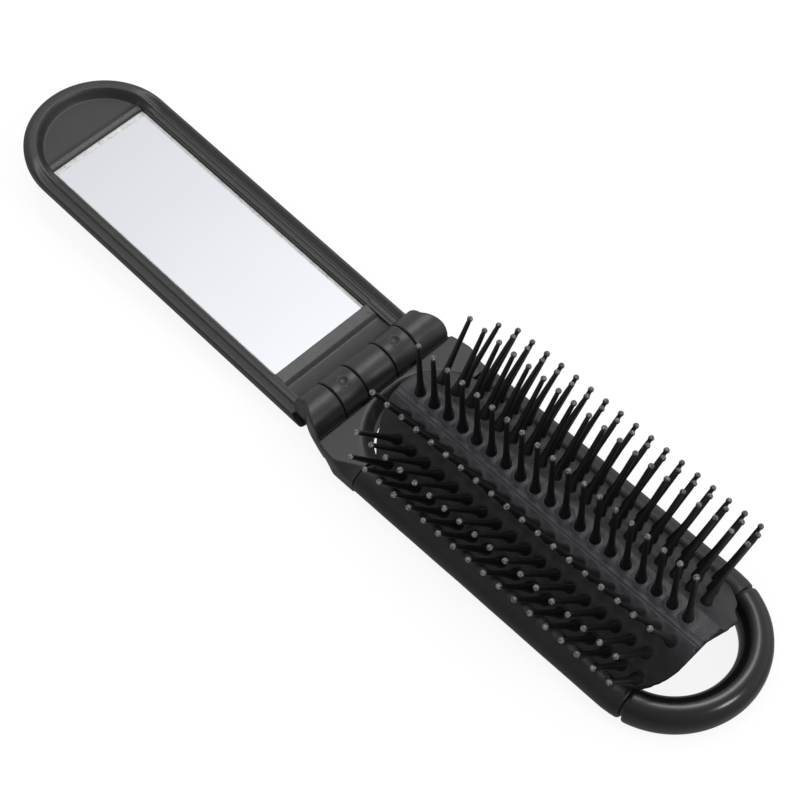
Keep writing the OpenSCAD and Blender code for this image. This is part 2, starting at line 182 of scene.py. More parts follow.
# Trumpet foot, as (height, share of the way from the shank's radius to the foot's)
FOOT_PROFILE = [(-0.5, 1.12), (0.0, 1.0), (0.25, 0.985), (0.6, 0.92),
                (1.0, 0.79), (1.5, 0.58), (KNEE_UP, 0.44)]
SHANK_FROM_KNEE, SHANK_FROM_BEAD = (0.8, 1.6, 2.6, 4.0, 6.0, 9.0), (2.4, 1.2, 0.75, 0.3)
NECK_LEN, NECK_SHARE = 1, 0.93
SIZE_SPREAD, SWAY = (0.96, 1.04), 0.05


# ---------------------------------------------------------------- shader nodes

def maths(tree, operation, *values):
    """A maths node whose inputs are sockets or numbers. Returns its output."""
    node = tree.nodes.new("ShaderNodeMath")
    node.operation = operation
    for socket, value in zip(node.inputs, values):
        if isinstance(value, (int, float)):
            socket.default_value = value
        else:
            tree.links.new(value, socket)
    return node.outputs[0]


class Shader:
    """A material and short ways to add nodes to it. They take and return sockets."""

    def __init__(self, name, values=None):
        self.material = bpy.data.materials.new(name)
        self.material.use_nodes = True
        self.tree = self.material.node_tree
        self.surface = self.tree.nodes["Principled BSDF"]
        for socket, value in (values or {}).items():
            self.surface.inputs[socket].default_value = value

    def add(self, kind, **settings):
        """Adds a node. A setting is a property of it, or the socket or value of an input."""
        node = self.tree.nodes.new(kind)
        for key, value in settings.items():
            if hasattr(node, key):
                setattr(node, key, value)
            elif isinstance(value, bpy.types.NodeSocket):
                self.tree.links.new(value, node.inputs[key])
            else:
                node.inputs[key].default_value = value
        return node

    def feed(self, socket, source):
        self.tree.links.new(source, self.surface.inputs[socket])

    def where(self):
        return self.add("ShaderNodeTexCoord").outputs["Object"]

    def noise(self, scale, detail=4, roughness=0.5, where=None):
        noise = self.add("ShaderNodeTexNoise", Scale=scale, Detail=detail, Roughness=roughness,
                         Vector=self.where() if where is None else where)
        return noise.outputs["Fac"]

    def ramp(self, source, *stops):
        """Colours by (place, colour) stops."""
        ramp = self.add("ShaderNodeValToRGB", Fac=source)
        elements = ramp.color_ramp.elements
        while len(elements) < len(stops):
            elements.new(0.5)
        for element, (place, colour) in zip(elements, stops):
            element.position = place
            element.color = (*colour, 1)
        return ramp.outputs["Color"]

    def spread(self, source, low, high, start=0, end=1):
        """Runs from low to high as the source runs from start to end."""
        spread = self.add("ShaderNodeMapRange", Value=source)
        ends = {"From Min": start, "From Max": end, "To Min": low, "To Max": high}
        for socket, value in ends.items():
            spread.inputs[socket].default_value = value
        return spread.outputs["Result"]

    def maths(self, operation, *values):
        return maths(self.tree, operation, *values)

    def mix(self, factor, *colours):
        """Mixes two colours, each a socket or a plain colour."""
        mix = self.add("ShaderNodeMix", data_type="RGBA", Factor=factor)
        for socket, colour in zip((mix.inputs[6], mix.inputs[7]), colours):
            if isinstance(colour, tuple):
                socket.default_value = (*colour, 1)
            else:
                self.tree.links.new(colour, socket)
        return mix.outputs[2]

    def bump(self, height, depth):
        bump = self.add("ShaderNodeBump", Distance=depth * MM, Height=height)
        self.feed("Normal", bump.outputs["Normal"])


def grey(value):
    return (value,) * 3


# ---------------------------------------------------------------- materials

SATIN_BLACK, GLOSS_BLACK = (0.013, 0.013, 0.0135), (0.006, 0.006, 0.0065)
NYLON_BLACK, BEAD_BLACK = (0.005, 0.0048, 0.0052), (0.018, 0.018, 0.019)
RUBBER_DARK, RUBBER_PALE = (0.0050, 0.0046, 0.0052), (0.0105, 0.0095, 0.0110)
# The first colour on the next line is that of the painted sheen along the pad's crest
RUBBER_PAINTED_SHEEN, RUBBER_SHEEN = (0.029, 0.0255, 0.038), (0.66, 0.6, 0.75, 1)
SILVER_DARK, SILVER_PALE = (0.775, 0.80, 0.84), (0.80, 0.82, 0.855)
GLUE_DARK, GLUE_PALE = (0.70, 0.69, 0.62), (0.82, 0.81, 0.76)

# Noise by scale in 1/m, detail and roughness
PLASTIC_BROAD, PLASTIC_SMUDGE, PLASTIC_GRAIN = (90, 3), (420, 5, 0.7), (3, 0.6)
RUBBER_BROAD, RUBBER_STREAKS, RUBBER_SKIN = (130, 5, 0.6), (900, 4, 0.6), (2600, 3, 0.6)
# Across the pad, in mm of y, where the painted sheen band along the crest runs
SHEEN_BAND_FROM, SHEEN_BAND_TO = -9, 7
TONE_SHARES, GLOSS_SWING, SMUDGE_ROUGHER = (0.85, 1.15), 0.06, 0.35
# Paler convex edges, partly wear and partly painted highlight. The same pale colour also serves the
# dust smudges
EDGE_WEAR_HIGHLIGHT_SHARE, DUST_WEAR_HIGHLIGHT_GAIN, DUST_WEAR_HIGHLIGHT_LIFT = 0.35, 2.2, 0.02


def plastic(name, colour, roughness, grain, depth, specular, wave, dust=0.0):
    """Moulded plastic: fine grain, slow changes of colour and height, smudges, and paler edges that
    are partly wear and partly a painted highlight.
    """
    n = Shader(name, {"Specular IOR Level": specular})
    broad = n.noise(*PLASTIC_BROAD)
    fine = n.noise(grain, *PLASTIC_GRAIN)
    darker, paler = (tuple(c * share for c in colour) for share in TONE_SHARES)
    tone = n.ramp(broad, (0.3, darker), (0.7, paler))
    smudges = n.ramp(n.noise(*PLASTIC_SMUDGE), (0.56, grey(0.0)), (0.74, grey(dust)))
    # Convex edges turn paler: partly wear, partly a painted highlight. Dust smudges take the same
    # pale colour.
    edges = n.add("ShaderNodeNewGeometry").outputs["Pointiness"]
    painted_highlight = n.ramp(edges, (0.53, grey(0.0)), (0.62, grey(EDGE_WEAR_HIGHLIGHT_SHARE)))
    dust_wear_highlight_colour = tuple(c * DUST_WEAR_HIGHLIGHT_GAIN + DUST_WEAR_HIGHLIGHT_LIFT for c in colour)
    n.feed("Base Color", n.mix(n.maths("MAXIMUM", smudges, painted_highlight), tone, dust_wear_highlight_colour))
    gloss = n.spread(fine, roughness - GLOSS_SWING, roughness + GLOSS_SWING)
    n.feed("Roughness", n.maths("MULTIPLY_ADD", smudges, SMUDGE_ROUGHER, gloss))
    n.bump(n.maths("MULTIPLY_ADD", broad, wave, fine), depth)
    return n.material


def rubber():
    """Matte black rubber with a painted sheen, a paler slightly purple band along the crest, and a
    soft skin.
    """
    n = Shader("pad_rubber", {"Specular IOR Level": 0.55, "Sheen Weight": 0.05,
                              "Sheen Roughness": 0.5, "Sheen Tint": RUBBER_SHEEN})
    along = n.add("ShaderNodeMapping", Vector=n.where(), Scale=(0.12, 1, 1)).outputs["Vector"]
    streaks = n.noise(*RUBBER_STREAKS, where=along)
    broad, skin = n.noise(*RUBBER_BROAD), n.noise(*RUBBER_SKIN)
    across = n.add("ShaderNodeSeparateXYZ", Vector=n.where()).outputs["Y"]
    # Painted sheen: a paler purple band along the crest where it faces the light, broken into
    # streaks along the pad.
    crest = n.ramp(n.spread(across, 0, 1, SHEEN_BAND_FROM * MM, SHEEN_BAND_TO * MM), (0.05, grey(0.0)),
                   (0.30, grey(0.55)), (0.42, grey(1.0)), (0.60, grey(0.55)), (0.95, grey(0.1)))
    painted_sheen = n.maths("MULTIPLY", crest, n.spread(streaks, 0.3, 1.3))
    tone = n.ramp(broad, (0.35, RUBBER_DARK), (0.70, RUBBER_PALE))
    n.feed("Base Color", n.mix(painted_sheen, tone, RUBBER_PAINTED_SHEEN))
    n.feed("Roughness", n.spread(broad, 0.28, 0.50))
    n.bump(n.maths("MULTIPLY_ADD", broad, 6.0, skin), 0.04)
    return n.material


def bead_resin():
    """Black bead with a painted highlight: its rounded tip is painted a mottled grey."""
    n = Shader("bead_resin", {"Specular IOR Level": 0.45})
    mottle = n.noise(2600, 4, 0.7)
    # Painted highlight: towards the tip the bead turns from black to a mottled grey.
    from_neck = n.add("ShaderNodeAttribute", attribute_name="painted_highlight").outputs["Fac"]
    cap = n.ramp(from_neck, (0.30, grey(0.0)), (0.62, grey(1.0)))
    tone = n.ramp(mottle, (0.37, grey(0.022)), (0.49, grey(0.10)), (0.62, grey(0.31)))
    n.feed("Base Color", n.mix(cap, BEAD_BLACK, tone))
    n.feed("Roughness", n.spread(mottle, 0.22, 0.45))
    n.bump(mottle, 0.05)
    return n.material


def flecked(name, noise, stops, gloss, depth, values=None):
    """A material whose colour, gloss and height all follow one noise."""
    n = Shader(name, values)
    flecks = n.noise(*noise)
    n.feed("Base Color", n.ramp(flecks, *stops))
    n.feed("Roughness", n.spread(flecks, *gloss))
    n.bump(flecks, depth)
    return n.material


def silvered():
    """Silvered glass: almost white, with the faintest ripple."""
    return flecked("mirror", (25, 2), [(0.3, SILVER_DARK), (0.7, SILVER_PALE)],
                   (0.015, 0.03), 0.002, {"Metallic": 1})


def glass_edge(name, dark, middle, pale):
    """The clear ground edge of the mirror, pale with small chips."""
    return flecked(name, (650, 5, 0.75), [(0.30, dark), (0.42, middle), (0.60, pale)],
                   (0.15, 0.45), 0.05, {"Coat Weight": 0.4, "Coat Roughness": 0.1})


def drawn_steel():
    return flecked("steel", (3000, 2), [(0.3, grey(0.45)), (0.7, grey(0.62))],
                   (0.25, 0.4), 0.01, {"Metallic": 1})


def adhesive():
    return flecked("adhesive", (700, 4), [(0.3, GLUE_DARK), (0.7, GLUE_PALE)], (0.6, 0.8), 0.03)


def make_materials():
    return {
        "satin_plastic": plastic("satin_plastic", SATIN_BLACK, roughness=0.38, grain=1300,
                                 depth=0.018, specular=0.75, wave=1.5, dust=0.6),
        "gloss_black": plastic("gloss_black", GLOSS_BLACK, roughness=0.20, grain=900,
                               depth=0.006, specular=0.58, wave=8.0, dust=0.1),
        "pin_nylon": plastic("pin_nylon", NYLON_BLACK, roughness=0.32, grain=2200,
                             depth=0.012, specular=0.75, wave=1.0),
        "pad_rubber": rubber(),
        "bead_resin": bead_resin(),
        "mirror": silvered(),
        "mirror_edge": glass_edge("mirror_edge", grey(0.42), grey(0.72), (0.90, 0.90, 0.89)),
        "mirror_line": glass_edge("mirror_line", grey(0.30), grey(0.52), grey(0.80)),
        "steel": drawn_steel(),
        "adhesive": adhesive(),
    }


# ---------------------------------------------------------------- mesh tools

def mesh_object(name, points, faces, materials, crease=50):
    """A smooth-shaded object. Edges that bend by more than crease degrees stay sharp."""
    mesh = bpy.data.meshes.new(name)
    mesh.from_pydata([tuple(c * MM for c in p) for p in points], [], [list(f) for f in faces])
    mesh.validate()
    mesh.shade_smooth()
    mesh.set_sharp_from_angle(angle=math.radians(crease))
    for material in materials:
        mesh.materials.append(material)
    piece = bpy.data.objects.new(name, mesh)
    bpy.context.scene.collection.objects.link(piece)
    return piece


def place(piece, body, slot):
    """Makes a piece ride on a body. The slot argument is not used."""
    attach(piece, body)
    return piece


def loft(rings):
    """Points and faces: quads between closed rings of equal length, each end closed by a fan."""
    size = len(rings[0])
    points = [p for ring in rings for p in ring]
    last = (len(rings) - 1) * size
    faces = []
    for start in range(0, last, size):
        for j in range(size):
            a, b = start + j, start + (j + 1) % size
            faces.append((a, b, b + size, a + size))
    for start, flip in ((0, True), (last, False)):
        centre = len(points)
        points.append(tuple(np.mean(points[start:start + size], axis=0)))
        for j in range(size):
            a, b = start + j, start + (j + 1) % size
            faces.append((centre, b, a) if flip else (centre, a, b))
    return points, faces


def gather(parts):
    """Joins several (points, faces) into one."""
    points, faces = [], []
    for part_points, part_faces in parts:
        start = len(points)
        points += part_points
        faces += [tuple(i + start for i in f) for f in part_faces]
    return points, faces


def flipped(faces):
    return [f[::-1] for f in faces]


def arc(centre, radius, start, end, steps):
    """Points on an arc in a plane."""
    turns = [math.radians(a) for a in np.linspace(start, end, steps)]
    return [(centre[0] + radius * math.cos(a), centre[1] + radius * math.sin(a)) for a in turns]


def slot_section(width, height, steps=14):
    """Outline of an upright bar with round top and bottom, about its centre."""
    radius, flat = width / 2, (height - width) / 2
    return arc((0, flat), radius, 0, 180, steps) + arc((0, -flat), radius, 180, 360, steps)


def short_of_full(t):
    """How much of its radius a quarter-round edge still lacks at share t of the way in."""
    return 1 - math.sqrt(max(0, 1 - (1 - t) ** 2))


def ease_over(value, start, end):
    """Runs smoothly from 0 to 1 as the value goes from start to end."""
    t = np.clip((value - start) / (end - start), 0, 1)
    return t * t * (3 - 2 * t)


def hump(value, middle, half_width):
    """A smooth hump of height 1."""
    return np.exp(-((value - middle) / half_width) ** 2)


# Distance functions: negative inside

def join(a, b, r):
    """Union with a fillet of about r."""
    h = np.clip(0.5 + 0.5 * (b - a) / r, 0, 1)
    return b + (a - b) * h - r * h * (1 - h)


def both(a, b, r):
    """Intersection with an edge rounded by about r."""
    return -join(-a, -b, r)


def cut(a, b, r):
    """What is left of a outside b."""
    return both(a, -b, r)


def within(r, *distances):
    """What lies inside several faces at right angles, with its edges rounded by r."""
    gaps = [distance + r for distance in distances]
    outside = np.sqrt(sum(np.maximum(gap, 0) ** 2 for gap in gaps))
    return outside + np.minimum(reduce(np.maximum, gaps), 0) - r


def block(x, y, z, low, high, r):
    """A box between two corners."""
    return within(r, *(np.abs(value - (a + b) / 2) - (b - a) / 2
                       for value, a, b in zip((x, y, z), low, high)))


def disc(radial, along, radius, half, r):
    """A cylinder given by distances from its axis and its middle."""
    return within(r, radial - radius, np.abs(along) - half)


def solid(shape, low, high, step=0.2):
    """Points and quads of the surface where a distance function is zero."""
    axes = [np.arange(a, b + step, step) for a, b in zip(low, high)]
    x, y, z = np.meshgrid(*axes, indexing="ij", sparse=True)
    band = 3.0
    distance = np.clip(shape(x, y, z) / step, -band, band)
    grid = openvdb.FloatGrid(band)
    grid.copyFromArray(distance.astype(np.float32))
    points, quads = grid.convertToQuads()
    points = points.astype(float) * step + np.array(low)
    return points, quads[:, ::-1]


# ---------------------------------------------------------------- brush body

def plate_half_width(x):
    """Half the width of the end plate, which narrows towards the barrel along an arc."""
    drop = np.clip(SHOULDER_X - x, 0, WAIST_REACH)
    return FRAME_HALF - (WAIST_R - np.sqrt(WAIST_R ** 2 - drop ** 2))


def shoulder_facet(x, y, z):
    """The steep bank where the plate's flat top ends above each shoulder."""
    away = (x - FACET_X) * FACET_WAY[0] + (np.abs(y) - FACET_Y) * FACET_WAY[1]
    fall = FACET_FALL - FACET_FLATTER * np.clip(x - FACET_FLATTER_X, 0, FACET_FLATTER_RUN)
    return (z - PLATE_TOP + fall * away) / np.sqrt(1 + fall ** 2)


def opening_shape(x, y, z):
    """The opening for the pad: upright below, widening like a bowl towards its top edge."""
    rise = np.clip(z - OPENING_BEND_Z, 0, OPENING_RUN) / (PLATE_TOP - OPENING_BEND_Z)
    centre = OPENING_X + (OPENING_TOP_X - OPENING_X) * rise
    radius = OPENING_R + (OPENING_TOP_R - OPENING_R) * rise
    return (np.sqrt((x - centre) ** 2 + y ** 2) - radius) * OPENING_EASE


def plate_side(x, y, z):
    """The plate's sides, which draw in below near the barrel."""
    draft = np.maximum(0, DRAFT_Z - z) * DRAFT_SLOPE
    draft = draft * np.clip((DRAFT_END - x) / DRAFT_RUN, 0, 1)
    return (np.abs(y) - plate_half_width(x) + draft) * SIDE_EASE


def plate_knuckle(x, y, z, middle, half):
    """A pair of knuckles, one on each side, or the middle one, with their roots in the plate."""
    radial = np.sqrt(x ** 2 + (z - HINGE_Z) ** 2)
    along = np.abs(y) - middle
    start, end = KNUCKLE_ROOT
    root = block(x, along, z, (start, -half, 0.0), (end, half, PLATE_TOP - ROOT_DROP), 0.25)
    root = both(root, (-x - z - ROOT_BEVEL) * BEVEL_EASE, 0.2)
    return join(disc(radial, along, BARREL_R, half, 0.3), root, EDGE_SOFT)


def end_plate_shape(x, y, z):
    side = plate_side(x, y, z)
    slab = both(both(side, -z, PLATE_BOTTOM_R), z - PLATE_TOP, PLATE_TOP_SOFT)
    slab = both(slab, shoulder_facet(x, y, z), EDGE_SOFT)
    slab = both(slab, PLATE_START - x, EDGE_SOFT)
    shoulder_y = plate_half_width(x) - SHOULDER_R - 0.05
    shoulder = np.sqrt((np.abs(y) - shoulder_y) ** 2 + (z - SHOULDER_R) ** 2) - SHOULDER_R
    shoulder = both(both(shoulder, side, EDGE_SOFT), SHOULDER_START - x, 1.0)
    plate = join(slab, shoulder, PART_SOFT)
    plate = both(cut(plate, opening_shape(x, y, z), OPENING_SOFT), -z, EDGE_SOFT)
    gap = KNUCKLE_GAP / 2
    past_end = 1.5
    reach = (BARREL_HALF + past_end - OUTER_SPLIT - gap) / 2
    for middle, half in ((0, MID_SPLIT - gap), (OUTER_SPLIT + gap + reach, reach)):
        plate = join(plate, plate_knuckle(x, y, z, middle, half), PART_SOFT)
    plate = both(plate, side, PLATE_SIDE_SOFT)
    return both(plate, x - PLATE_END, 0.35)


def make_end_plate(materials):
    points, faces = solid(end_plate_shape, (-6, -22, -1), (18, 22, 13))
    piece = mesh_object("end_plate_shell", points, faces, [materials["satin_plastic"]])
    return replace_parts(place(piece, "brush", "satin_plastic"), "end_plate")


def bow_turns():
    """Stations round the loop: (angle, width, height). Its full bar is pinched in at both ends."""
    start = math.degrees(math.asin((SLEEVE_END + 0.2 - LOOP_X) / LOOP_R)) - 90
    under_sleeve = [(angle, RAIL_W, RAIL_H) for angle in np.linspace(-89, start, 6)]
    bar = []
    for angle in np.concatenate([np.linspace(start, start + PINCH_TURN, 5),
                                 np.linspace(start + 3, -start - 3, 85),
                                 np.linspace(-start - PINCH_TURN, -start, 5)]):
        rise = min(1, (-start - abs(angle)) / PINCH_TURN)
        shrink = PINCH_R * short_of_full(rise)
        bar.append((angle, BAR_W - shrink, BAR_H - shrink))
    return under_sleeve + bar + [(-angle, w, h) for angle, w, h in under_sleeve[::-1]]


def bow_path():
    """Stations from the left rail round the loop: (x, y, outward x, outward y, width, height)."""
    rail_x = np.linspace(PLATE_END - TENON, LOOP_X, 24)
    rail = [(x, -LOOP_R, 0, -1, RAIL_W, RAIL_H) for x in rail_x]
    loop = []
    for angle, width, height in bow_turns():
        ca, sa = math.cos(math.radians(angle)), math.sin(math.radians(angle))
        loop.append((LOOP_X + LOOP_R * ca, LOOP_R * sa, ca, sa, width, height))
    return rail + loop + [(x, -y, ux, -uy, w, h) for x, y, ux, uy, w, h in reversed(rail)]


def make_bow(materials):
    rings = []
    for x, y, ux, uy, width, height in bow_path():
        section = slot_section(width, height)
        rings.append([(x + a * ux, y + a * uy, BAR_Z + b) for a, b in section])
    points, faces = loft(rings)
    piece = mesh_object("bow_loop", points, faces, [materials["gloss_black"]], 35)
    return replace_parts(place(piece, "brush", "gloss_black"), "bow_handle")


# ---------------------------------------------------------------- lid

def lid_floor(u):
    """Height of the floor inside the rim: ramp up to the barrel, band, mirror bed, half-moon."""
    bed_start, bed_end = GLASS_NEAR - GLASS_GAP, GLASS_NEAR + GLASS_LEN + GLASS_GAP
    ramp = GLASS_Z + RAMP_UP + RAMP_RISE * np.exp(-(u - RAMP_U) / RAMP_RUN)
    band = GLASS_Z + BAND_UP - (bed_start - u) * BAND_SLOPE
    near = ramp + (band - ramp) * ease_over(u, *BAND_EDGE)
    lip_u, lip_w, lip_up = MOON_LIP
    far = MOON_Z + lip_up * hump(u, lip_u, lip_w)
    return np.where(u < bed_start, near, np.where(u > bed_end, far, GLASS_BED))


def lid_knuckle_shape(u, y, z):
    """Both knuckles of the lid, each with its root and a shallow ringed dimple on top.

    The second distance is that of the room which the other knuckles need in the lid.
    """
    radial = np.sqrt(u ** 2 + z ** 2)
    half = (OUTER_SPLIT - MID_SPLIT - KNUCKLE_GAP) / 2
    along = np.abs(y) - DIMPLE_Y
    root = block(u, along, z, (0, -half, LID_BACK), (LID_ROOT_END, half, LID_ROOT_TOP), 0.3)
    knuckle = join(disc(radial, along, BARREL_R, half, 0.3), root, 0.6)
    from_dimple = np.sqrt(u ** 2 + along ** 2)
    collar_out, collar_up = from_dimple - DIMPLE_R - COLLAR_OUT, z - BARREL_R + COLLAR_SINK
    collar = np.sqrt(collar_out ** 2 + collar_up ** 2) - COLLAR_R
    knuckle = join(knuckle, collar, PART_SOFT)
    ball_up = z - BARREL_R - DIMPLE_BALL_UP
    dish = np.sqrt(from_dimple ** 2 + ball_up ** 2) - DIMPLE_BALL_R
    room = np.maximum(radial - BARREL_R - BARREL_GAP, half - np.abs(along))
    return cut(knuckle, dish, 0.15), room


def rim_top(u, far):
    """Height of the rim beside the mirror: two fine grooves, a low ridge, a raised outer edge."""
    near = ease_over(u, *NEAR_SPAN)
    (inner, inner_w, inner_deep), (outer, outer_w, outer_deep) = INNER_GROOVE, OUTER_GROOVE
    shifted = far - inner + NEAR_SHIFT * near
    groove = (inner_deep + NEAR_DEEPER * near) * hump(shifted, 0, inner_w)
    groove = groove + outer_deep * hump(far, outer, outer_w)
    ridge, ridge_w, ridge_up = RIDGE
    swell = RIM_RISE * ease_over(far, *RIM_RISE_SPAN) + ridge_up * hump(far, ridge, ridge_w)
    return RIM_Z + swell - groove


def rim_shape(u, far, z):
    """The lid's rim, whose grooved top runs into one plain bead round the half-moon."""
    moon = ease_over(u, *MOON_SPAN)
    bank = MOON_Z + (MOON_RIM_Z - MOON_Z) * ease_over(far, *MOON_BANK)
    top = rim_top(u, far)
    top = top + (bank - top) * moon
    r = RIM_EDGE_R + (MOON_EDGE_R - RIM_EDGE_R) * moon
    out, up = np.maximum(far - LID_HALF + r, 0), np.maximum(z - top + r, 0)
    crown = np.sqrt(out ** 2 + up ** 2) - r
    return both(crown * RIM_EASE, RIM_IN - far, RIM_IN_SOFT)


def lid_shape(u, y, z):
    far = np.sqrt(np.maximum(u - LID_FAR, 0) ** 2 + y ** 2)
    floor = both(far - RIM_IN - FLOOR_LAP, (z - lid_floor(u)) * FLOOR_EASE, FLOOR_SOFT)
    lid = join(rim_shape(u, far, z), floor, 0.12)
    envelope = both(far - LID_HALF - LID_DRAFT * (z - RIM_Z), LID_BACK - z, LID_BACK_R)
    lid = both(lid, envelope, EDGE_SOFT)
    knuckle, room = lid_knuckle_shape(u, y, z)
    lid = both(lid, UNDER_END - u, 0.5)
    lid = cut(lid, room, PART_SOFT)
    return join(lid, knuckle, 0.4)


def lid_to_row(points):
    """From the lid's own coordinates to the frame's. The lid points to -X, tilted up a little."""
    t = math.radians(REST_TILT)
    p = np.asarray(points, float)
    x = -p[:, 0] * math.cos(t) + p[:, 2] * math.sin(t)
    z = p[:, 0] * math.sin(t) + p[:, 2] * math.cos(t) + HINGE_Z
    return np.column_stack([x, p[:, 1], z])


def make_lid(materials):
    out = LID_HALF + 1.2
    points, faces = solid(lid_shape, (-6, -out, LID_BACK - 1), (LID_FAR + out, out, BARREL_R + 1))
    plastic_only = [materials["satin_plastic"]]
    piece = mesh_object("lid_shell", lid_to_row(points), faces[:, ::-1], plastic_only)
    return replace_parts(place(piece, "lid", "satin_plastic"), "lid_frame")


def mirror_outline(inset):
    """The mirror's outline, drawn in on each side: straight near end, far corners on an arc."""
    near_in, left_in, right_in, far_in = inset
    near, far = GLASS_NEAR + near_in, GLASS_NEAR + GLASS_LEN - far_in
    outline = [(near, left_in - GLASS_HALF), (near, GLASS_HALF - right_in)]
    for side, side_in in ((1, right_in), (-1, left_in)):
        half = GLASS_HALF - side_in
        turn = math.degrees(math.asin((far - LID_FAR) / half))
        corner_arc = arc((LID_FAR, 0), half, 90, 90 - turn, GLASS_CORNER_STEPS)
        outline += [(u, side * y) for u, y in corner_arc[::side]]
    return outline


def make_mirror(materials):
    rings = [[(u, y, z) for u, y in mirror_outline(share * CLEAR_EDGE)] for share, z in GLASS_RINGS]
    points, faces = loft(rings)
    slots = ["mirror", "mirror_edge", "mirror_line"]
    piece = mesh_object("mirror_plate", lid_to_row(points), flipped(faces),
                        [materials[slot] for slot in slots], 20)
    for k, polygon in enumerate(piece.data.polygons):
        band = k // len(rings[0])
        finish = GLASS_FINISH[band] if band < len(GLASS_FINISH) else "mirror"
        polygon.material_index = slots.index(finish)
    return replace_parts(place(piece, "lid", "mirror"), "mirror_glass")


# ---------------------------------------------------------------- bristles

def corner(k):
    """Corner k of the arch's outer face, as (y, z), on the right side."""
    y, z = CREST_HALF, CREST_Z
    for length, slope in list(zip(STRIP_LEN, STRIP_SLOPE))[:k]:
        y += length * math.cos(math.radians(slope))
        z -= length * math.sin(math.radians(slope))
    return y, z


def foot(row, i):
    """Middle of a pin's foot, on the pad."""
    side, place_out = row
    pitch = FOOT_PITCH if place_out else CREST_FOOT_PITCH
    x = FOOT_X[side][place_out] + i * pitch
    if not place_out:
        return np.array([x, 0, CREST_Z])
    y, z = corner(place_out - 1)
    slope = math.radians(STRIP_SLOPE[place_out - 1])
    down = FOOT_DOWN[place_out]
    return np.array([x, side * (y + down * math.cos(slope)), z - down * math.sin(slope)])


def foot_normal(row):
    """Which way the pad faces under a row."""
    side, place_out = row
    slope = math.radians(STRIP_SLOPE[place_out - 1]) if place_out else 0
    return np.array([0, side * math.sin(slope), math.cos(slope)])


def bead(row, i):
    """Middle of a pin's bead."""
    side, place_out = row
    x = BEAD_X[side][place_out] + i * BEAD_PITCH
    return np.array([x, side * BEAD_Y[place_out], BEAD_Z[place_out]])


def pin_line(row, i):
    """A pin's foot and normal, the knee above its foot, its bead, and how it leans to that."""
    base, tip, normal = foot(row, i), bead(row, i), foot_normal(row)
    knee = base + KNEE_UP * normal
    return base, normal, knee, tip, (tip - knee) / np.linalg.norm(tip - knee)


def ring_round(centre, along, radius, sides):
    """A ring of points round a direction."""
    along = along / np.linalg.norm(along)
    u = np.cross(along, (0, 1, 0.001))
    u /= np.linalg.norm(u)
    v = np.cross(along, u)
    angles = np.linspace(0, 2 * math.pi, sides, endpoint=False)
    return [tuple(centre + radius * (math.cos(a) * u + math.sin(a) * v)) for a in angles]


def pin_part(row, i, foot_size, sway):
    """One pin: a trumpet foot that stands square on the pad, and a shank that leans to its bead."""
    base, normal, knee, tip, lean = pin_line(row, i)
    length = np.linalg.norm(tip - knee)
    rings = []
    for height, share in FOOT_PROFILE:
        radius = PIN_R + (FOOT_R * foot_size - PIN_R) * share
        rings.append(ring_round(base + height * normal, normal, radius, PIN_SIDES))
    sway = np.array([*sway, 0])
    for distance in SHANK_FROM_KNEE + tuple(length - back for back in SHANK_FROM_BEAD):
        t = distance / length
        bend = normal * KNEE_BEND * math.exp(-distance / 1.2) + sway * math.sin(math.pi * t)
        swell = (FOOT_R - PIN_R) * FOOT_PROFILE[-1][1] * math.exp(-distance / 1.3)
        radius = PIN_R + (PIN_TIP_R - PIN_R) * t + swell
        if distance > length - NECK_LEN:
            radius *= NECK_SHARE
        turn = lean + normal * math.exp(-distance / 0.8)
        rings.append(ring_round(knee + distance * lean + bend, turn, radius, PIN_SIDES))
    return loft(rings)


def bead_part(row, i, bead_size):
    """One bead: a dipped drop with a short neck. The last ring is the outermost."""
    *_, tip, lean = pin_line(row, i)
    size = PIN_BEAD_R * bead_size
    rings = [ring_round(tip - 1.15 * size * lean, lean, PIN_TIP_R * 0.95, BEAD_SIDES)]
    for angle in np.linspace(-52, 84, 11):
        a = math.radians(angle)
        stretch = 1.06 if angle < 0 else 1.0
        centre = tip + size * stretch * math.sin(a) * lean
        rings.append(ring_round(centre, lean, size * math.cos(a), BEAD_SIDES))
    return loft(rings)


def mark_painted_highlight(tips, size):
    """Stores how far each point lies towards its bead's tip, from 0 at the neck to 1. This places
    the painted highlight on the tip.
    """
    share = np.zeros(size)
    share[:-2] = np.repeat(np.linspace(0, 1, (size - 2) // BEAD_SIDES), BEAD_SIDES)
    share[-1] = 1
    share = np.tile(share, len(tips.data.vertices) // size)
    painted_highlight = tips.data.attributes.new("painted_highlight", "FLOAT", "POINT")
    painted_highlight.data.foreach_set("value", share.astype(np.float32))


def make_row(name, row, materials, seed):
    rng = np.random.default_rng(seed)
    count = PIN_COUNT[row[0]][row[1]]
    pins, beads = [], []
    for i in range(count):
        foot_size, sway = rng.uniform(*SIZE_SPREAD), rng.normal(0, SWAY, 2)
        pins.append(pin_part(row, i, foot_size, sway))
        beads.append(bead_part(row, i, rng.uniform(*SIZE_SPREAD)))
    points, faces = gather(pins)
    shafts = mesh_object("bristles_" + name, points, faces, [materials["pin_nylon"]], 60)
    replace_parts(place(shafts, "row_" + name, "pin_nylon"), "pins_" + name)
    points, faces = gather(beads)
    tips = mesh_object("tips_" + name, points, faces, [materials["bead_resin"]], 60)
    # The beads' tips get their painted highlight from this stored share.
    mark_painted_highlight(tips, len(points) // count)
    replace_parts(place(tips, "row_" + name, "bead_resin"), "beads_" + name)


# ---------------------------------------------------------------- rubber pad

def feet():
    return np.array([foot((side, out), i) for side, out in ROWS.values()
                     for i in range(PIN_COUNT[side][out])])


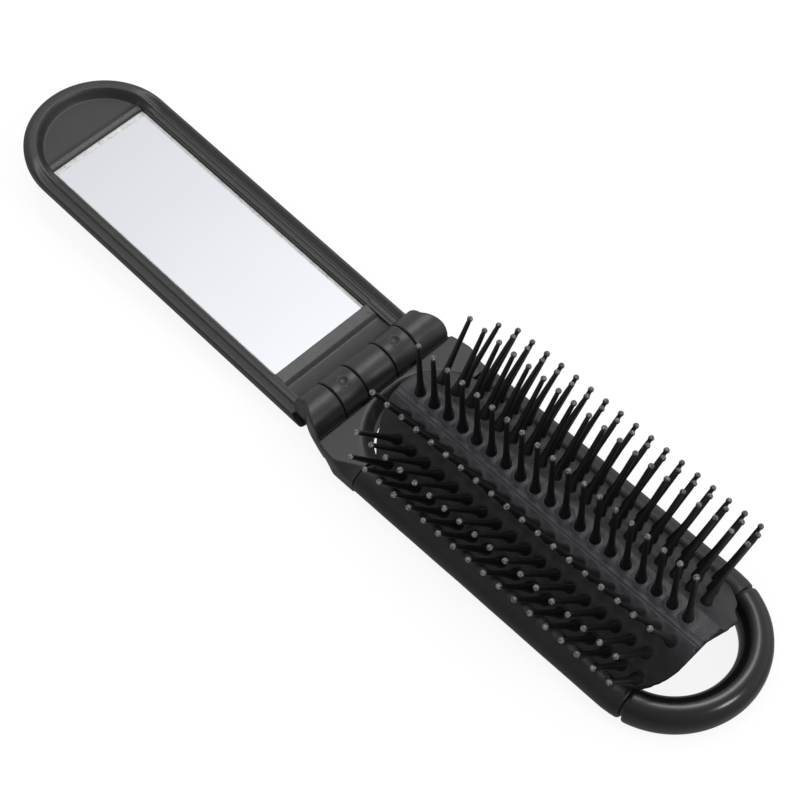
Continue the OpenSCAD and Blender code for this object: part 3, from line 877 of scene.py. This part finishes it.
def arch_height(y):
    """Height of the arch's outer face, its corners softened."""
    corners = [corner(k) for k in range(4)]
    edge_y = [0] + [c[0] for c in corners] + [corners[3][0] + 3]
    edge_z = [CREST_Z] + [c[1] for c in corners] + [corners[3][1] - 2.7]
    spread = np.linspace(-CORNER_SOFT, CORNER_SOFT, 7)
    return np.mean([np.interp(np.abs(y) + d, edge_y, edge_z) for d in spread], axis=0)


def pad_relief(x, y, places):
    """Ringed bosses round the pins' feet, two fine seams along the crest, a slow unevenness."""
    relief = np.zeros(np.broadcast(x, y).shape)
    for fx, fy, _ in places:
        away = np.sqrt((x - fx) ** 2 + (y - fy) ** 2)
        ring = BOSS_RING_UP * hump(away, BOSS_RING_R, BOSS_RING_W)
        relief += BOSS_UP * hump(away, 0, BOSS_R) + ring
    for seam in SEAM_Y:
        relief -= SEAM_DEEP * hump(y, seam, SEAM_W)
    return relief + 0.07 * np.sin(0.9 * x + 0.6 * y) * np.sin(0.37 * x - 0.8 * y)


def edge_x(y, rough):
    """Where the sheet begins and ends along X, at each y. The rear edge has a tab and two nicks."""
    across = np.minimum(np.abs(y), FRONT_EDGE_R - 1)
    dip = FRONT_EDGE_R - np.sqrt(FRONT_EDGE_R ** 2 - across ** 2)
    start = FRONT_EDGE_X + dip + 0.08 * np.sin(1.7 * y)
    rear_dip = REAR_DIP * (np.abs(y) / REAR_DIP_AT) ** 4
    tab = TAB_OUT * ease_over(y, *TAB_START) - TAB_BACK * ease_over(y, *TAB_END)
    nicks = sum(deep * hump(y, middle, w) for middle, w, deep in REAR_NICKS)
    return start, REAR_EDGE_X - rear_dip + tab - nicks + np.interp(y, *rough)


def sheet_part(ys, places, rough):
    """Closed sheet over a span of y, following the arch, with rounded edges front and rear."""
    start, end = edge_x(ys, rough)
    shares = np.linspace(0, 1, int((REAR_EDGE_X - FRONT_EDGE_X) / SHEET_STEP))[3:-3]
    stations = [(start + t * SHEET_EDGE_R, t) for t in SHEET_ROUNDING]
    stations += [(start + share * (end - start), 1) for share in shares]
    stations += [(end - t * SHEET_EDGE_R, t) for t in SHEET_ROUNDING[::-1]]
    arch = arch_height(ys)
    thick = PAD_T * np.sqrt(1 + np.gradient(arch, ys) ** 2)
    rings = []
    for x, t in stations:
        tuck = SHEET_EDGE_R * short_of_full(t)
        top = arch + pad_relief(x, ys, places) - tuck
        under = arch - thick + tuck
        rings.append(list(zip(x, ys, top)) + list(zip(x[::-1], ys[::-1], under[::-1])))
    return loft(rings)


def make_crown(materials, places, rough):
    """The sheet down to just past its two lower creases."""
    edge = corner(2)[0] + CROWN_LAP
    left, right = FINE_SPAN
    ys = np.concatenate([np.linspace(-edge, left - FINE_GAP, 38), np.linspace(left, right, 24),
                         np.linspace(right + FINE_GAP, edge, 62)])
    points, faces = sheet_part(ys, places, rough)
    piece = mesh_object("pad_crown", points, flipped(faces), [materials["pad_rubber"]], 60)
    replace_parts(place(piece, "brush", "pad_rubber"), "rubber_pad")
    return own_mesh(piece)


def make_web(side, name, materials, places, rough):
    """The sheet from the lower crease to its sleeve."""
    foot_y = abs(foot((side, 3), 0)[1])
    inner = corner(2)[0] + WEB_START
    ys = np.concatenate([np.linspace(inner, foot_y + 0.2, 12),
                         np.linspace(foot_y + 0.25, WEB_END, 30)])
    ys = ys if side > 0 else -ys[::-1]
    points, faces = sheet_part(ys, places, rough)
    points = [(x, y, z - WEB_SINK) for x, y, z in points]
    piece = mesh_object("pad_web_" + name, points, flipped(faces), [materials["pad_rubber"]], 60)
    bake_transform(piece)
    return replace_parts(piece, "rubber_pad")


def make_sleeve(side, name, materials, rng):
    """Thick rubber tube round a rail, slightly uneven, with soft ends."""
    ends = [0, 0.05, 0.15, 0.3, 0.5]
    stations = [SLEEVE_START + d for d in ends]
    stations += list(np.linspace(SLEEVE_START + 1, SLEEVE_END - 1, 180))
    stations += [SLEEVE_END - d for d in ends[::-1]]
    slow, quick, _, _ = rng.uniform(0, 6.28, 4)
    rings = []
    for x in stations:
        t = min(1, min(x - SLEEVE_START, SLEEVE_END - x) / SLEEVE_END_R)
        tuck = SLEEVE_END_R * short_of_full(t)
        sway = 0.05 * math.sin(x / 7 + slow) + 0.03 * math.sin(x / 2.3 + quick)
        width = 2 * SLEEVE_R - 2 * tuck + sway
        height = SLEEVE_H - 2 * tuck + min(0, sway)
        middle_y = math.sqrt(LOOP_R ** 2 - max(0, x - LOOP_X) ** 2)
        ring = []
        for a, b in slot_section(width, height, 18):
            slant = 0.25 * (a * side) / SLEEVE_R if x > SLEEVE_END - 2 else 0
            ring.append((x + slant, side * middle_y + a, BAR_Z + b))
        rings.append(ring)
    points, faces = loft(rings)
    piece = mesh_object("pad_sleeve_" + name, points, faces, [materials["pad_rubber"]], 50)
    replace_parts(place(piece, "brush", "pad_rubber"), "rubber_pad")


def make_pad(materials):
    rng = np.random.default_rng(11)
    places = feet()
    rough_y = np.linspace(-18, 18, 61)
    everywhere, right_only = rng.normal(0, 0.05, 61), rng.normal(0, 0.06, 61)
    rough = (rough_y, everywhere + np.where(rough_y > -1, right_only, 0))
    make_crown(materials, places, rough)
    for side, name in ((-1, "left"), (1, "right")):
        make_web(side, name, materials, places, rough)
        make_sleeve(side, name, materials, rng)


# ---------------------------------------------------------------- stage

CAMERA_AT = (211.95, -200.62, 422.98)
CAMERA_LOOKS_AT = (6.42, 3.52, 0.0)
CAMERA_ROLL = 0.55
CAMERA_LENS, CAMERA_SENSOR = 105.82, 36
KEY_AT, KEY_AIM = (856, 198, 662), (50, 0, 0)
KEY_SIZE, KEY_POWER = 250, 1.7

# Light of the surround where no ray sees it, and what gloss sees there: a pale studio that is
# brighter behind the brush, with a broad beam and its small core, all by direction
AMBIENT = 0.85
STUDIO_WAY, STUDIO_RANGE, STUDIO_LEVEL = (-0.17, 0.98, 0), 0.27, 0.49
BEAM_WAY, BEAM_NARROW, BEAM_LEVEL = (-0.128, 0.317, 0.94), 5.0, 0.87
CORE_WAY, CORE_NARROW, CORE_LEVEL = (-0.113, 0.39, 0.913), 45.0, 4.5

FLOOR_HALF, FLOOR_Z = 4000, -0.05
FLOOR_GREY, FLOOR_SEEN = 0.18, 0.86
FLOOR_GLOSS_SLOPE, FLOOR_GLOSS, FLOOR_GLOSS_MOST = 1.2, 0.2, 0.6


def add_object(name, data):
    thing = bpy.data.objects.new(name, data)
    bpy.context.scene.collection.objects.link(thing)
    thing.rotation_mode = "QUATERNION"
    return thing


def aimed(at, aim):
    return (Vector(aim) - Vector(at)).normalized().to_track_quat("-Z", "Y")


def make_camera():
    data = bpy.data.cameras.new("camera")
    data.sensor_width = CAMERA_SENSOR
    data.lens = CAMERA_LENS
    data.clip_start, data.clip_end = 0.01, 20
    camera = add_object("camera", data)
    camera.location = Vector(CAMERA_AT) * MM
    roll = Matrix.Rotation(math.radians(CAMERA_ROLL), 3, "Z")
    turn = aimed(CAMERA_AT, CAMERA_LOOKS_AT).to_matrix()
    camera.rotation_quaternion = (turn @ roll).to_quaternion()
    bpy.context.scene.camera = camera


def make_key_light():
    data = bpy.data.lights.new("key", "AREA")
    data.shape = "DISK"
    data.size = KEY_SIZE * MM
    data.energy = KEY_POWER
    light = add_object("key", data)
    light.location = Vector(KEY_AT) * MM
    light.rotation_quaternion = aimed(KEY_AT, KEY_AIM)


def seen_ray(tree):
    """1 for rays from the camera or through glass, else 0."""
    path = tree.nodes.new("ShaderNodeLightPath").outputs
    return maths(tree, "MAXIMUM", path["Is Camera Ray"], path["Is Transmission Ray"])


def gloss_ray(tree):
    return tree.nodes.new("ShaderNodeLightPath").outputs["Is Glossy Ray"]


def facing(tree, direction):
    """How far the world's direction lies towards a given one, from -1 to 1."""
    where = tree.nodes.new("ShaderNodeTexCoord")
    dot = tree.nodes.new("ShaderNodeVectorMath")
    dot.operation = "DOT_PRODUCT"
    tree.links.new(where.outputs["Generated"], dot.inputs[0])
    dot.inputs[1].default_value = Vector(direction).normalized()
    return dot.outputs["Value"]


def lobe(tree, direction, narrow):
    """1 in a given direction, falling off to 0 round it."""
    lobe = maths(tree, "MULTIPLY_ADD", facing(tree, direction), narrow, 1 - narrow)
    return maths(tree, "MAXIMUM", lobe, 0.0)


def make_world():
    """White to the camera, and to gloss a pale studio with one bright patch high behind."""
    world = bpy.data.worlds.new("studio")
    bpy.context.scene.world = world
    world.use_nodes = True
    tree = world.node_tree
    back = tree.nodes["Background"]
    back.inputs["Color"].default_value = (1, 1, 1, 1)
    around = maths(tree, "MULTIPLY_ADD", facing(tree, STUDIO_WAY), STUDIO_RANGE, STUDIO_LEVEL)
    beam = maths(tree, "POWER", lobe(tree, BEAM_WAY, BEAM_NARROW), 3.0)
    core = maths(tree, "MULTIPLY", lobe(tree, CORE_WAY, CORE_NARROW), CORE_LEVEL)
    studio = maths(tree, "MULTIPLY_ADD", beam, BEAM_LEVEL, maths(tree, "ADD", around, core))
    more = maths(tree, "SUBTRACT", studio, AMBIENT)
    lit = maths(tree, "MULTIPLY_ADD", gloss_ray(tree), more, AMBIENT)
    to_white = maths(tree, "SUBTRACT", 1.0, lit)
    shown = maths(tree, "MULTIPLY_ADD", seen_ray(tree), to_white, lit)
    tree.links.new(shown, back.inputs["Strength"])


def floor_material():
    """Pale floor that shows the shadow. From below it is clear, so the underside can be seen."""
    n = Shader("floor", {"Base Color": (*grey(FLOOR_GREY), 1), "Roughness": 0.9,
                         "Specular IOR Level": 0.0})
    behind = n.add("ShaderNodeSeparateXYZ", Vector=n.where()).outputs["Y"]
    gloss = n.maths("MULTIPLY_ADD", behind, FLOOR_GLOSS_SLOPE, FLOOR_GLOSS)
    gloss = n.maths("MINIMUM", n.maths("MAXIMUM", gloss, 0.0), FLOOR_GLOSS_MOST)
    strength = n.maths("MAXIMUM", n.maths("MULTIPLY", seen_ray(n.tree), FLOOR_SEEN),
                       n.maths("MULTIPLY", gloss_ray(n.tree), gloss))
    glow = n.add("ShaderNodeEmission", Color=(1, 1, 1, 1), Strength=strength)
    total = n.add("ShaderNodeAddShader")
    n.tree.links.new(n.surface.outputs[0], total.inputs[0])
    n.tree.links.new(glow.outputs[0], total.inputs[1])
    below = n.add("ShaderNodeNewGeometry").outputs["Backfacing"]
    mix = n.add("ShaderNodeMixShader", Fac=below)
    n.tree.links.new(total.outputs[0], mix.inputs[1])
    n.tree.links.new(n.add("ShaderNodeBsdfTransparent").outputs[0], mix.inputs[2])
    n.tree.links.new(mix.outputs[0], n.tree.nodes["Material Output"].inputs["Surface"])
    return n.material


def make_floor():
    half, z = FLOOR_HALF, FLOOR_Z
    corners = [(-half, -half, z), (half, -half, z), (half, half, z), (-half, half, z)]
    material = floor_material()
    mesh_object("floor", corners, [(0, 1, 2, 3)], [material])


# ---------------------------------------------------------------- assembly

def dress_cad_nodes(materials):
    for node, slot in (("hinge_pin", "steel"), ("mirror_adhesive", "adhesive")):
        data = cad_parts[node].data
        data.materials.clear()
        data.materials.append(materials[slot])


def main():
    bpy.context.scene.view_settings.view_transform = "Standard"
    make_camera()
    make_world()
    make_key_light()
    make_floor()
    materials = make_materials()
    dress_cad_nodes(materials)
    make_end_plate(materials)
    make_bow(materials)
    make_lid(materials)
    make_mirror(materials)
    make_pad(materials)
    for seed, (name, row) in enumerate(ROWS.items()):
        make_row(name, row, materials, seed)


main()
